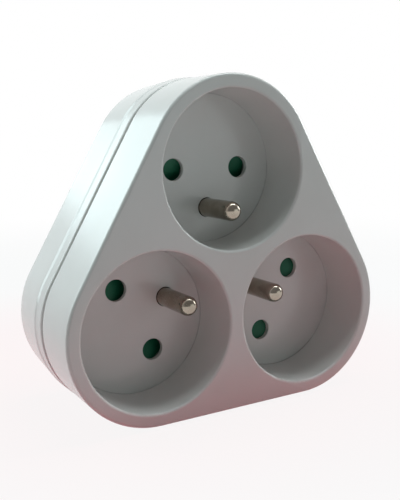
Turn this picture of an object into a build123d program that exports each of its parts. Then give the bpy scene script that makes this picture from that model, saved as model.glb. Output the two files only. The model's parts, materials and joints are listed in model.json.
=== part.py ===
from build123d import *
from math import atan2, atan, cos, degrees, hypot, radians, sin
import os

# Three-way plug-in adapter, all sizes in millimetres.
# Frame: X to the right seen from the front, Z up, the outlets face -Y and the plug points to +Y.
# The origin is the middle of the plug face, between the two plug pins.
# Every piece is drawn lying face up, with depths measured down from the front face,
# and is turned upright on export.

# Outlets
OUTLET_NAMES = ("top", "left", "right")
OUTLET_SPACING = 42.7
RECESS_MOUTH_DIAMETER = 38.8
RECESS_FLOOR_DIAMETER = 37.7
RECESS_DEPTH = 14.25
RECESS_FLOOR = 1.3
MOUTH_FILLET = 0.65
CONTACT_SPACING = 19.0
CONTACT_HOLE_DIAMETER = 5.5
CONTACT_HOLE_FILLET = 0.2
EARTH_OFFSET = 10.0
PIN_DIAMETER = 4.8
EARTH_PIN_LENGTH = 14.0
EARTH_PIN_ROOT_DIAMETER = 4.4
EARTH_HOLE_GAP = 0.15

# Casing outline, as wall outside the recess mouths
CORNER_WALL = 3.4
SIDE_FLARE = 0.05
BAND_OVERHANG = 0.15
LEDGE_OVERHANG = 0.18
LEDGE_WIDTH = 1.0
REAR_TAPER = 0.98
FRONT_FILLET = 0.8
SEAM_FILLET = 0.4
BAND_FILLET = 0.8
LEDGE_FILLET = 2.0
REAR_FILLET = 1.2

# Casing walls and seam
FRONT_WALL = 2.0
SKIRT_WALL = 1.7
CUP_WALL = 2.1
SEAM_BELOW_FLOOR = 1.05
SEAM_GAP = 0.6
BAND_WIDTH = 3.8
TONGUE_WALL = 1.4
TONGUE_LENGTH = 2.4
TONGUE_ROOT = 2.5
TONGUE_CLEARANCE = 0.3
REAR_WALL = 2.2

# Plug
SPIGOT_DIAMETER = 36.6
SPIGOT_LENGTH = 14.0
SPIGOT_WALL = 2.0
SPIGOT_CHAMFER = 1.2
SPIGOT_ROOT_FILLET = 0.8
PLUG_FACE_WALL = 2.4
PLUG_PIN_LENGTH = 19.0
PLUG_PIN_BODY_DIAMETER = 5.2
PLUG_PIN_COLLAR_DIAMETER = 7.6
PLUG_PIN_COLLAR = 1.5
PLUG_PIN_TUBE_DIAMETER = 9.2
PLUG_PIN_TUBE_LENGTH = 9.0
PIN_TIP_FILLET = 2.2

# Shutters
SHUTTER_CLEARANCE = 0.15
SHUTTER_THICKNESS = 3.2
SHUTTER_RAMP_DROP = 2.5
SHUTTER_COVER = 0.55
SHUTTER_TRAVEL = 6.3
SHUTTER_BRIDGE = 1.9
SHUTTER_PAD_WIDTH = 3.8
SHUTTER_PAD_LENGTH = 1.65
GUIDE_CLEARANCE = 0.2
GUIDE_WALL = 1.2
STOP_HEIGHT = 1.4
STOP_WIDTH = 2.6
SPRING_WIRE = 0.4
SPRING_DIAMETER = 2.6
SPRING_LENGTH = 12.7
SPRING_TURNS = 8
SPRING_PEG_DIAMETER = 1.1
SPRING_PEG_LENGTH = 1.4

# Contacts and bars
CARRIER_THICKNESS = 2.0
CARRIER_GAP = 0.25
CARRIER_HOLE_DIAMETER = 6.2
STRIP = 0.8
STRIP_WIDTH = 5.0
EYE_DIAMETER = 8.6
BAR_RING_RADIUS = 18.0
LINE_BAR_DROP = 5.95
BAR_PITCH = 4.2
BAR_TO_REAR_WALL = 3.3
SLEEVE_BORE_DIAMETER = 4.7
SLEEVE_WALL = 0.65
SLEEVE_NECK_WALL = 0.4
SLEEVE_RIM_DIAMETER = 6.4
SLEEVE_RIM = 0.5
SLEEVE_SLIT = 0.7
SLEEVE_SLIT_END = 1.3
SLEEVE_GAP = 0.3
POST_WALL = 1.0
FIT_GAP = 0.05
RIVET_SHANK_DIAMETER = 4.0
RIVET_HEAD_DIAMETER = 6.0
RIVET_HEAD = 1.0
EARTH_COLLAR_DIAMETER = 7.0
EARTH_COLLAR = 1.4
EARTH_SLEEVE_BORE_DIAMETER = 4.9
EARTH_SLEEVE_WALL = 0.7
EARTH_SLEEVE_LENGTH = 15.0
EARTH_GUIDE_LENGTH = 6.0
EARTH_LEG_LAP = 4.0
EARTH_FOOT_LAP = 1.25

# Casing screws
SCREW_INSET = 14.8
SCREW_DIAMETER = 2.9
SCREW_PILOT_DIAMETER = 2.5
SCREW_PILOT_RUNOUT = 1.45
SCREW_TIP_CHAMFER = 0.58
SCREW_CLEARANCE_DIAMETER = 3.3
SCREW_LENGTH = 20.0
SCREW_HEAD_DIAMETER = 5.4
SCREW_HEAD = 2.0
SCREW_HEAD_FILLET = 1.0
SCREW_HEAD_DEPTH = 6.4
SCREW_SLOT = 0.8
SCREW_SLOT_REACH = 1.8
SCREW_SLOT_DEPTH = 1.0
FRONT_BOSS_DIAMETER = 6.4
REAR_BOSS_DIAMETER = 8.4
COUNTERBORE_DIAMETER = 6.0

# Distances within which an edge counts as lying at a depth or having a diameter
DEPTH_MATCH = 0.001
DIAMETER_MATCH = 0.01

# Derived plan sizes, with the first outlet straight up and the others spaced evenly
OUTLET_TURN = 360 / len(OUTLET_NAMES)
OUTLET_ANGLES = {name: 90 + OUTLET_TURN * index for index, name in enumerate(OUTLET_NAMES)}
OUTLET_RADIUS = OUTLET_SPACING / 2 / sin(radians(OUTLET_TURN / 2))
EDGE_RADIUS = OUTLET_RADIUS * cos(radians(OUTLET_TURN / 2))
CONTACT_RADIUS = hypot(OUTLET_RADIUS, CONTACT_SPACING / 2)
CONTACT_ANGLE = degrees(atan2(CONTACT_SPACING / 2, OUTLET_RADIUS))
OUTLINE_FRONT = RECESS_MOUTH_DIAMETER / 2 + CORNER_WALL
OUTLINE_SEAM = OUTLINE_FRONT + SIDE_FLARE
OUTLINE_BAND = OUTLINE_SEAM + BAND_OVERHANG
OUTLINE_LEDGE = OUTLINE_BAND + LEDGE_OVERHANG
TONGUE_OUTLINE = OUTLINE_SEAM - SKIRT_WALL
CAVITY_OUTLINE = TONGUE_OUTLINE + TONGUE_CLEARANCE
CARRIER_OUTLINE = TONGUE_OUTLINE - TONGUE_WALL - CARRIER_GAP
HALF_PITCH = CONTACT_SPACING / 2
LINE_SIDE = 1
NEUTRAL_SIDE = -1
BLADE_REACH = CONTACT_HOLE_DIAMETER / 2 + SHUTTER_COVER
BLADE_INNER = HALF_PITCH - BLADE_REACH
BLADE_OUTER = HALF_PITCH + BLADE_REACH

# Derived depths, from the front face backwards
FLOOR_BACK = RECESS_DEPTH + RECESS_FLOOR
SEAM_FRONT = FLOOR_BACK + SEAM_BELOW_FLOOR
SEAM_BACK = SEAM_FRONT + SEAM_GAP
BAND_BACK = SEAM_BACK + BAND_WIDTH
LEDGE_DEPTH = BAND_BACK + LEDGE_WIDTH
SHUTTER_FRONT = FLOOR_BACK + SHUTTER_CLEARANCE
SHUTTER_BACK = SHUTTER_FRONT + SHUTTER_THICKNESS
CARRIER_FRONT = SHUTTER_BACK + SHUTTER_CLEARANCE
CARRIER_BACK = CARRIER_FRONT + CARRIER_THICKNESS
EARTH_BAR_BACK = CARRIER_BACK + STRIP
LINE_BAR_FRONT = CARRIER_BACK + LINE_BAR_DROP
NEUTRAL_BAR_FRONT = LINE_BAR_FRONT + BAR_PITCH
REAR_WALL_FRONT = NEUTRAL_BAR_FRONT + STRIP + BAR_TO_REAR_WALL
BODY_DEPTH = REAR_WALL_FRONT + REAR_WALL
PLUG_FACE_DEPTH = BODY_DEPTH + SPIGOT_LENGTH
PLUG_FACE_INNER = PLUG_FACE_DEPTH - PLUG_FACE_WALL
PLUG_TUBE_FRONT = PLUG_FACE_INNER - PLUG_PIN_TUBE_LENGTH
SPRING_DEPTH = (SHUTTER_FRONT + SHUTTER_BACK) / 2
SCREW_SEAT = BODY_DEPTH - SCREW_HEAD_DEPTH
SCREW_TIP = SCREW_SEAT - SCREW_LENGTH

UPRIGHT = Plane(origin=(0, -PLUG_FACE_DEPTH, 0), x_dir=(1, 0, 0), z_dir=(0, -1, 0))


def slab(outline, front, back):
    """Solid of an outline between two depths."""
    return extrude(Pos(0, 0, -back) * outline, amount=back - front)


def rod(x, y, diameter, front, back):
    """Round rod along the depth."""
    return slab(Pos(x, y) * Circle(diameter / 2), front, back)


def block(x_range, y_range, front, back):
    """Rectangular block between two depths."""
    width = x_range[1] - x_range[0]
    length = y_range[1] - y_range[0]
    middle = Pos((x_range[0] + x_range[1]) / 2, (y_range[0] + y_range[1]) / 2)
    return slab(middle * Rectangle(width, length), front, back)


def triangle(radius):
    """Triangle of the outlet axes, rounded by a radius about each of them."""
    corners = [(outlet(angle).position.X, outlet(angle).position.Y) for angle in OUTLET_ANGLES.values()]
    return offset(make_face(Polyline(*corners, close=True)), amount=radius, kind=Kind.ARC)


def narrowing_back(front_radius, back_radius, front, back):
    """Rounded triangle that narrows towards the rear."""
    taper = degrees(atan((front_radius - back_radius) / (back - front)))
    solid = extrude(triangle(front_radius), amount=back - front, taper=taper)
    return Pos(0, 0, -front) * Rot(180, 0, 0) * mirror(solid, about=Plane.XZ)


def narrowing_front(front_radius, back_radius, front, back):
    """Rounded triangle that narrows towards the front."""
    taper = degrees(atan((back_radius - front_radius) / (back - front)))
    return Pos(0, 0, -back) * extrude(triangle(back_radius), amount=back - front, taper=taper)


def outlet(angle):
    """Place of an outlet, with local X pointing outward."""
    return Rot(0, 0, angle) * Pos(OUTLET_RADIUS, 0)


def outlets():
    """Places of the three outlets."""
    return [outlet(angle) for angle in OUTLET_ANGLES.values()]


def screw_places():
    """Places of the three casing screws, at the middle of the sides."""
    reach = EDGE_RADIUS + SCREW_INSET
    return [Rot(0, 0, angle + 180) * Pos(reach, 0) for angle in OUTLET_ANGLES.values()]


def edges_at(solid, depth):
    """Edges that lie flat at a depth."""
    return solid.edges().filter_by_position(Axis.Z, -depth - DEPTH_MATCH, -depth + DEPTH_MATCH)


def circles_at(solid, depth, diameter):
    """Round edges of a diameter that lie flat at a depth."""
    circles = edges_at(solid, depth).filter_by(GeomType.CIRCLE)
    return circles.filter_by(lambda edge: abs(2 * edge.radius - diameter) < DIAMETER_MATCH)


def front_housing():
    """Front moulding with recesses, skirt, screw bosses and tongue."""
    body = narrowing_front(OUTLINE_FRONT, OUTLINE_SEAM, 0, SEAM_FRONT)
    body = fillet(edges_at(body, 0), FRONT_FILLET)
    body = fillet(edges_at(body, SEAM_FRONT), SEAM_FILLET)
    body -= slab(triangle(OUTLINE_FRONT - SKIRT_WALL), FRONT_WALL, SEAM_FRONT)
    tongue = triangle(TONGUE_OUTLINE) - triangle(TONGUE_OUTLINE - TONGUE_WALL)
    body += slab(tongue, SEAM_FRONT - TONGUE_ROOT, SEAM_FRONT + TONGUE_LENGTH)
    for place in outlets():
        body += place * rod(0, 0, RECESS_MOUTH_DIAMETER + 2 * CUP_WALL, FRONT_WALL / 2, FLOOR_BACK)
    for place in screw_places():
        body += place * rod(0, 0, FRONT_BOSS_DIAMETER, FRONT_WALL / 2, CARRIER_FRONT)
        body -= place * rod(0, 0, SCREW_PILOT_DIAMETER, SCREW_TIP - SCREW_PILOT_RUNOUT, CARRIER_FRONT)
    middle = -RECESS_DEPTH / 2
    recess = Pos(0, 0, middle) * Cone(RECESS_FLOOR_DIAMETER / 2, RECESS_MOUTH_DIAMETER / 2, RECESS_DEPTH)
    for place in outlets():
        body -= place * recess
        body -= place * rod(0, HALF_PITCH, CONTACT_HOLE_DIAMETER, RECESS_DEPTH, FLOOR_BACK)
        body -= place * rod(0, -HALF_PITCH, CONTACT_HOLE_DIAMETER, RECESS_DEPTH, FLOOR_BACK)
        body -= place * rod(-EARTH_OFFSET, 0, PIN_DIAMETER + 2 * EARTH_HOLE_GAP, RECESS_DEPTH, FLOOR_BACK)
    body = fillet(circles_at(body, 0, RECESS_MOUTH_DIAMETER), MOUTH_FILLET)
    return fillet(circles_at(body, RECESS_DEPTH, CONTACT_HOLE_DIAMETER), CONTACT_HOLE_FILLET)


def rear_shell():
    """Outer form of the rear cover, with the band, the ledge and the plug spigot."""
    back = narrowing_back(OUTLINE_LEDGE, OUTLINE_LEDGE - REAR_TAPER, LEDGE_DEPTH, BODY_DEPTH)
    back = fillet(edges_at(back, BODY_DEPTH), REAR_FILLET)
    band = slab(triangle(OUTLINE_BAND), SEAM_BACK, BAND_BACK)
    band = fillet(edges_at(band, SEAM_BACK), BAND_FILLET)
    shell = back + narrowing_front(OUTLINE_BAND, OUTLINE_LEDGE, BAND_BACK, LEDGE_DEPTH) + band
    shell = fillet(edges_at(shell, BAND_BACK) + edges_at(shell, LEDGE_DEPTH), LEDGE_FILLET)
    spigot = rod(0, 0, SPIGOT_DIAMETER, BODY_DEPTH - REAR_WALL, PLUG_FACE_DEPTH)
    shell += chamfer(edges_at(spigot, PLUG_FACE_DEPTH), SPIGOT_CHAMFER)
    return fillet(circles_at(shell, BODY_DEPTH, SPIGOT_DIAMETER), SPIGOT_ROOT_FILLET)


def rear_cover():
    """Rear moulding with contact posts, screw bosses and the hollow plug spigot."""
    cover = rear_shell()
    cover -= narrowing_back(CAVITY_OUTLINE, CAVITY_OUTLINE - REAR_TAPER, SEAM_BACK, REAR_WALL_FRONT)
    cover -= rod(0, 0, SPIGOT_DIAMETER - 2 * SPIGOT_WALL, REAR_WALL_FRONT, PLUG_FACE_INNER)
    post_bore = SLEEVE_RIM_DIAMETER + 2 * CARRIER_GAP
    post = post_bore + 2 * POST_WALL
    for place in outlets():
        for side, bar_front in ((LINE_SIDE, LINE_BAR_FRONT), (NEUTRAL_SIDE, NEUTRAL_BAR_FRONT)):
            y = side * HALF_PITCH
            cover += place * rod(0, y, post, bar_front + STRIP, REAR_WALL_FRONT + REAR_WALL / 2)
            cover -= place * rod(0, y, post_bore, bar_front + STRIP, REAR_WALL_FRONT)
    for place in screw_places():
        cover += place * rod(0, 0, REAR_BOSS_DIAMETER, CARRIER_BACK, REAR_WALL_FRONT + REAR_WALL / 2)
        cover -= place * rod(0, 0, SCREW_CLEARANCE_DIAMETER, CARRIER_BACK, BODY_DEPTH)
        cover -= place * rod(0, 0, COUNTERBORE_DIAMETER, SCREW_SEAT, BODY_DEPTH)
    for x in (-HALF_PITCH, HALF_PITCH):
        cover += rod(x, 0, PLUG_PIN_TUBE_DIAMETER, PLUG_TUBE_FRONT, PLUG_FACE_INNER + PLUG_FACE_WALL / 2)
        cover -= rod(x, 0, PLUG_PIN_BODY_DIAMETER + 2 * FIT_GAP, PLUG_TUBE_FRONT, PLUG_FACE_DEPTH)
    sleeve = EARTH_SLEEVE_BORE_DIAMETER + 2 * EARTH_SLEEVE_WALL + 4 * FIT_GAP
    guide_front = PLUG_FACE_INNER - EARTH_GUIDE_LENGTH
    cover += rod(0, EARTH_OFFSET, sleeve + 2 * POST_WALL, guide_front, PLUG_FACE_INNER)
    return cover - rod(0, EARTH_OFFSET, sleeve, guide_front, PLUG_FACE_DEPTH)


def contact_carrier():
    """Inner plate that guides the shutters and holds the earth pins."""
    plate = slab(triangle(CARRIER_OUTLINE), CARRIER_FRONT, CARRIER_BACK)
    rib_front = FLOOR_BACK + SHUTTER_CLEARANCE
    guide = (BLADE_OUTER + GUIDE_CLEARANCE, BLADE_OUTER + GUIDE_CLEARANCE + GUIDE_WALL)
    guide_run = (-BLADE_REACH, BLADE_REACH + SHUTTER_TRAVEL + GUIDE_CLEARANCE)
    stop = (-BLADE_REACH - GUIDE_CLEARANCE - GUIDE_WALL, -BLADE_REACH - GUIDE_CLEARANCE)
    stop_width = (HALF_PITCH - STOP_WIDTH / 2, HALF_PITCH + STOP_WIDTH / 2)
    post_face = BLADE_REACH + SPRING_LENGTH
    pad = SHUTTER_PAD_WIDTH / 2
    rib = block(guide_run, guide, rib_front, CARRIER_FRONT)
    rib += block(stop, stop_width, CARRIER_FRONT - STOP_HEIGHT, CARRIER_FRONT)
    post = block((post_face, post_face + GUIDE_WALL), (-pad, pad), rib_front, CARRIER_FRONT)
    peg = spring_peg(post_face - SPRING_PEG_LENGTH)
    pin_hole = rod(0, HALF_PITCH, CARRIER_HOLE_DIAMETER, CARRIER_FRONT, CARRIER_BACK)
    rivet_hole = rod(-EARTH_OFFSET, 0, RIVET_SHANK_DIAMETER + 2 * FIT_GAP, CARRIER_FRONT, CARRIER_BACK)
    for place in outlets():
        plate += place * (post + peg)
        plate -= place * rivet_hole
        for side in (rib, mirror(rib, about=Plane.XZ)):
            plate += place * side
        for hole in (pin_hole, mirror(pin_hole, about=Plane.XZ)):
            plate -= place * hole
    for place in screw_places():
        plate -= place * rod(0, 0, SCREW_CLEARANCE_DIAMETER, CARRIER_FRONT, CARRIER_BACK)
    return plate


def spring_peg(start):
    """Short peg along local X that centres a spring end."""
    section = Plane(origin=(start, 0, -SPRING_DEPTH), z_dir=(1, 0, 0)) * Circle(SPRING_PEG_DIAMETER / 2)
    return extrude(section, amount=SPRING_PEG_LENGTH)


def shutter():
    """Shutter with two ramped blades, a bridge and a spring pad."""
    thin = SHUTTER_FRONT + SHUTTER_RAMP_DROP
    profile = [
        (-BLADE_REACH, -SHUTTER_BACK),
        (BLADE_REACH, -SHUTTER_BACK),
        (BLADE_REACH, -SHUTTER_FRONT),
        (-BLADE_REACH, -thin),
    ]
    blade_side = Plane(origin=(0, BLADE_OUTER, 0), x_dir=(1, 0, 0), z_dir=(0, -1, 0))
    blade = extrude(blade_side * Polygon(*profile, align=None), amount=BLADE_OUTER - BLADE_INNER)
    pad = SHUTTER_PAD_WIDTH / 2
    bridge = block((0, BLADE_REACH), (-BLADE_INNER, BLADE_INNER), SHUTTER_BACK - SHUTTER_BRIDGE, SHUTTER_BACK)
    bridge += block((BLADE_REACH - SHUTTER_PAD_LENGTH, BLADE_REACH), (-pad, pad), SHUTTER_FRONT, SHUTTER_BACK)
    return bridge + blade + mirror(blade, about=Plane.XZ) + spring_peg(BLADE_REACH)


def shutter_spring():
    """Coil spring between the shutter and the post of the carrier."""
    run = SPRING_LENGTH - SPRING_WIRE
    start = (BLADE_REACH + SPRING_WIRE / 2, 0, -SPRING_DEPTH)
    coil = Helix(run / SPRING_TURNS, run, (SPRING_DIAMETER - SPRING_WIRE) / 2, start, (1, 0, 0))
    section = Plane(origin=coil @ 0, z_dir=coil % 0) * Circle(SPRING_WIRE / 2)
    return sweep(section, path=coil, is_frenet=True)


def earth_pin():
    """Fixed earth pin of an outlet, with collar and rivet end."""
    x = -EARTH_OFFSET
    tip = RECESS_DEPTH - EARTH_PIN_LENGTH
    pin = rod(x, 0, PIN_DIAMETER, tip, RECESS_DEPTH)
    pin = fillet(edges_at(pin, tip), PIN_TIP_FILLET)
    pin += rod(x, 0, EARTH_PIN_ROOT_DIAMETER, RECESS_DEPTH, CARRIER_FRONT)
    pin += rod(x, 0, EARTH_COLLAR_DIAMETER, CARRIER_FRONT - EARTH_COLLAR, CARRIER_FRONT)
    pin += rod(x, 0, RIVET_SHANK_DIAMETER, CARRIER_FRONT, EARTH_BAR_BACK)
    return pin + rod(x, 0, RIVET_HEAD_DIAMETER, EARTH_BAR_BACK, EARTH_BAR_BACK + RIVET_HEAD)


def earth_bar():
    """Star-shaped strip that joins the three earth pins."""
    reach = OUTLET_RADIUS - EARTH_OFFSET
    star = Circle(EYE_DIAMETER / 2)
    for angle in OUTLET_ANGLES.values():
        star += Rot(0, 0, angle) * Pos(reach / 2, 0) * Rectangle(reach, STRIP_WIDTH)
        star += Rot(0, 0, angle) * Pos(reach, 0) * Circle(EYE_DIAMETER / 2)
    for angle in OUTLET_ANGLES.values():
        star -= Rot(0, 0, angle) * Pos(reach, 0) * Circle(RIVET_SHANK_DIAMETER / 2 + FIT_GAP)
    return slab(star, CARRIER_BACK, EARTH_BAR_BACK)


def earth_sleeve():
    """Rolled sleeve for the wall outlet's earth pin, on a leg from the earth bar."""
    outside = EARTH_SLEEVE_BORE_DIAMETER + 2 * EARTH_SLEEVE_WALL
    front = PLUG_FACE_DEPTH - EARTH_SLEEVE_LENGTH
    leg_top = EARTH_OFFSET - EARTH_SLEEVE_BORE_DIAMETER / 2 - EARTH_SLEEVE_WALL / 2
    half = STRIP_WIDTH / 2
    sleeve = rod(0, EARTH_OFFSET, outside, front, PLUG_FACE_DEPTH)
    sleeve += block((-half, half), (leg_top - STRIP, leg_top), EARTH_BAR_BACK, front + EARTH_LEG_LAP)
    sleeve += block((-half, half), (-EARTH_FOOT_LAP, leg_top), EARTH_BAR_BACK, EARTH_BAR_BACK + STRIP)
    sleeve -= rod(0, EARTH_OFFSET, EARTH_SLEEVE_BORE_DIAMETER, front, PLUG_FACE_DEPTH)
    slit = SLEEVE_SLIT / 2
    return sleeve - block((-slit, slit), (EARTH_OFFSET, EARTH_OFFSET + outside), front, PLUG_FACE_DEPTH)


def contact_bar(side, bar_front):
    """Ring-shaped strip that joins the three contacts on one side to their plug pin."""
    half = STRIP_WIDTH / 2
    outline = Circle(BAR_RING_RADIUS + half) - Circle(BAR_RING_RADIUS - half)
    arm = CONTACT_RADIUS - BAR_RING_RADIUS
    spur = BAR_RING_RADIUS - HALF_PITCH
    contacts = [Rot(0, 0, angle + side * CONTACT_ANGLE) for angle in OUTLET_ANGLES.values()]
    for turn in contacts:
        outline += turn * Pos(BAR_RING_RADIUS + arm / 2, 0) * Rectangle(arm, STRIP_WIDTH)
        outline += turn * Pos(CONTACT_RADIUS, 0) * Circle(EYE_DIAMETER / 2)
    outline += Pos(side * (HALF_PITCH + spur / 2), 0) * Rectangle(spur, STRIP_WIDTH)
    outline += Pos(side * HALF_PITCH, 0) * Circle(EYE_DIAMETER / 2)
    for turn in contacts:
        neck = SLEEVE_BORE_DIAMETER / 2 + SLEEVE_NECK_WALL
        outline -= turn * Pos(CONTACT_RADIUS, 0) * Circle(neck + FIT_GAP)
    outline -= Pos(side * HALF_PITCH, 0) * Circle(RIVET_SHANK_DIAMETER / 2 + FIT_GAP)
    return slab(outline, bar_front, bar_front + STRIP)


def contact_sleeve(side, bar_front):
    """Split sleeve that grips a plug pin, swaged into its bar."""
    front = CARRIER_BACK + SLEEVE_GAP
    bar_back = bar_front + STRIP
    sleeve = rod(0, side, SLEEVE_BORE_DIAMETER + 2 * SLEEVE_WALL, front, bar_front)
    sleeve += rod(0, side, SLEEVE_BORE_DIAMETER + 2 * SLEEVE_NECK_WALL, bar_front, bar_back)
    sleeve += rod(0, side, SLEEVE_RIM_DIAMETER, bar_back, bar_back + SLEEVE_RIM)
    sleeve -= rod(0, side, SLEEVE_BORE_DIAMETER, front, bar_back + SLEEVE_RIM)
    slit = SLEEVE_SLIT / 2
    slit_back = bar_front - SLEEVE_SLIT_END
    return sleeve - block((-EYE_DIAMETER, EYE_DIAMETER), (side - slit, side + slit), front, slit_back)


def plug_pin(x, bar_front):
    """Plug pin from its bar to the rounded tip."""
    bar_back = bar_front + STRIP
    tip = PLUG_FACE_DEPTH + PLUG_PIN_LENGTH
    pin = rod(x, 0, PIN_DIAMETER, PLUG_FACE_DEPTH, tip)
    pin = fillet(edges_at(pin, tip), PIN_TIP_FILLET)
    pin += rod(x, 0, PLUG_PIN_BODY_DIAMETER, bar_back, PLUG_FACE_DEPTH)
    pin += rod(x, 0, PLUG_PIN_COLLAR_DIAMETER, PLUG_TUBE_FRONT - PLUG_PIN_COLLAR, PLUG_TUBE_FRONT)
    pin += rod(x, 0, RIVET_SHANK_DIAMETER, bar_front, bar_back)
    return pin + rod(x, 0, RIVET_HEAD_DIAMETER, bar_front - RIVET_HEAD, bar_front)


def casing_screw():
    """Pan-head screw with a cross slot."""
    screw = rod(0, 0, SCREW_HEAD_DIAMETER, SCREW_SEAT, SCREW_SEAT + SCREW_HEAD)
    screw = fillet(edges_at(screw, SCREW_SEAT + SCREW_HEAD), SCREW_HEAD_FILLET)
    shank = rod(0, 0, SCREW_DIAMETER, SCREW_TIP, SCREW_SEAT)
    screw += chamfer(edges_at(shank, SCREW_TIP), SCREW_TIP_CHAMFER)
    slot = SCREW_SLOT / 2
    arm = SCREW_SLOT_REACH
    head_top = SCREW_SEAT + SCREW_HEAD
    screw -= block((-arm, arm), (-slot, slot), head_top - SCREW_SLOT_DEPTH, head_top)
    return screw - block((-slot, slot), (-arm, arm), head_top - SCREW_SLOT_DEPTH, head_top)


def pieces():
    """All pieces by node name, drawn face up."""
    found = {
        "front_housing": front_housing(),
        "rear_cover": rear_cover(),
        "contact_carrier": contact_carrier(),
        "earth_bar": earth_bar(),
        "earth_sleeve": earth_sleeve(),
        "line_bar": contact_bar(LINE_SIDE, LINE_BAR_FRONT),
        "neutral_bar": contact_bar(NEUTRAL_SIDE, NEUTRAL_BAR_FRONT),
        "line_plug_pin": plug_pin(LINE_SIDE * HALF_PITCH, LINE_BAR_FRONT),
        "neutral_plug_pin": plug_pin(NEUTRAL_SIDE * HALF_PITCH, NEUTRAL_BAR_FRONT),
        "casing_screws": Part() + [place * casing_screw() for place in screw_places()],
    }
    line_y = LINE_SIDE * HALF_PITCH
    neutral_y = NEUTRAL_SIDE * HALF_PITCH
    for name, angle in OUTLET_ANGLES.items():
        place = outlet(angle)
        found[f"earth_pin_{name}"] = place * earth_pin()
        found[f"line_contact_{name}"] = place * contact_sleeve(line_y, LINE_BAR_FRONT)
        found[f"neutral_contact_{name}"] = place * contact_sleeve(neutral_y, NEUTRAL_BAR_FRONT)
        found[f"shutter_{name}"] = place * shutter()
        found[f"shutter_spring_{name}"] = place * shutter_spring()
    return found


os.makedirs("parts", exist_ok=True)
for node, piece in pieces().items():
    export_step(UPRIGHT * piece, f"parts/{node}.step")
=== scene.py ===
"""Three-way plug-in adapter: finishes, threaded screws, return springs, studio and camera.

Sizes are in metres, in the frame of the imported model: X to the right, Z up, outlets towards -Y.
"""

import json
import logging
import math
from collections.abc import Callable
from dataclasses import dataclass
from enum import Enum

import bpy
from mathutils import Matrix, Vector

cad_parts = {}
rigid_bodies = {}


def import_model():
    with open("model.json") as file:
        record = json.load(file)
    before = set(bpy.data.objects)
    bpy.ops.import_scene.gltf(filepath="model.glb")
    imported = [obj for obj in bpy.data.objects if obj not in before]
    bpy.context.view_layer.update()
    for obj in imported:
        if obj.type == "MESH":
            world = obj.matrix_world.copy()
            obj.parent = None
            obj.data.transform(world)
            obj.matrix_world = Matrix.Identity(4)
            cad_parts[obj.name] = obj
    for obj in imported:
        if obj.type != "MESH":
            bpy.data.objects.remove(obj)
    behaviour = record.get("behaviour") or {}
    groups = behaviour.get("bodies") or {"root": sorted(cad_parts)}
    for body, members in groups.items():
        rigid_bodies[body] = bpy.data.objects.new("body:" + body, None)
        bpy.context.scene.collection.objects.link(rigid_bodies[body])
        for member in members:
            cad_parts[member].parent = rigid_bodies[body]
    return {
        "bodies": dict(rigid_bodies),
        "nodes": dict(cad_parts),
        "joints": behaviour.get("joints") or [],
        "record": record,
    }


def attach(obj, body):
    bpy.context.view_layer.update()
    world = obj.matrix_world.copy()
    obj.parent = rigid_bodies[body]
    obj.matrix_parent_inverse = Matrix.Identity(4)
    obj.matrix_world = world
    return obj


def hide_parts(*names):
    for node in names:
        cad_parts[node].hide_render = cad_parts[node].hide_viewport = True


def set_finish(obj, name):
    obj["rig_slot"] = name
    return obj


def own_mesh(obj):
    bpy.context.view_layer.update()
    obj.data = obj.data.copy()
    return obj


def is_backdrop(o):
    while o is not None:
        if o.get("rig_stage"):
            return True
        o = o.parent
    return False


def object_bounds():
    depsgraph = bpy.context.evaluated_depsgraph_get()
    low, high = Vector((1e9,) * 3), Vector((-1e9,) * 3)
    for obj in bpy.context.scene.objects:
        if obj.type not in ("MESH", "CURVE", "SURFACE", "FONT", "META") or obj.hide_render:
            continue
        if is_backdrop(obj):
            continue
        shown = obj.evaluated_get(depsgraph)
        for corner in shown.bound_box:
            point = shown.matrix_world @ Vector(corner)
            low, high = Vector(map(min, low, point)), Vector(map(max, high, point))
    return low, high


LOG = logging.getLogger("adapter")
Colour = tuple[float, float, float]
Point = tuple[float, float, float]
Value = float | bpy.types.NodeSocket
Paint = Colour | bpy.types.NodeSocket
MM = 0.001
QUARTER_TURN = math.pi / 2
UP: Point = (0.0, 0.0, 1.0)
DOWN: Point = (0.0, 0.0, -1.0)
# Distance of the outlet axes from the plug axis
OUTLET_REACH = 24.653 * MM
# Points that the lamps face
MIDDLE: Point = (0.0, -30.0 * MM, 0.0)
SIDE_MIDDLE: Point = (-30.0 * MM, -40.0 * MM, 18.0 * MM)
# Colour of the light from the windows on the left
WINDOW_TINT: Colour = (0.80, 0.98, 1.0)
# Steps of one turn of a coil
COIL_STEPS = 28
# Distance within which points are merged
DOUBLES = 0.001 * MM
# An end face has more than this part of its normal along Z
END_FACE = 0.5
# A wave texture of scale 1 repeats after pi divided by this
WAVE_RATE = 10.0


class Outlet(Enum):
    """The three outlets, by the angle of their place round the plug axis in degrees."""

    TOP = 90.0
    LEFT = 210.0
    RIGHT = 330.0

    @property
    def outward(self) -> Vector:
        """Unit vector from the plug axis towards the outlet."""
        angle = math.radians(self.value)
        return Vector((math.cos(angle), 0.0, math.sin(angle)))

    @property
    def label(self) -> str:
        """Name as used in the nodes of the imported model."""
        return self.name.lower()


class Effect(Enum):
    """Shader node groups that several finishes share."""

    GRAIN = "mould_grain"
    SCUFFS = "handling_scuffs"
    SPECKS = "dust_specks"
    DRIFT = "tone_drift"


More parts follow.
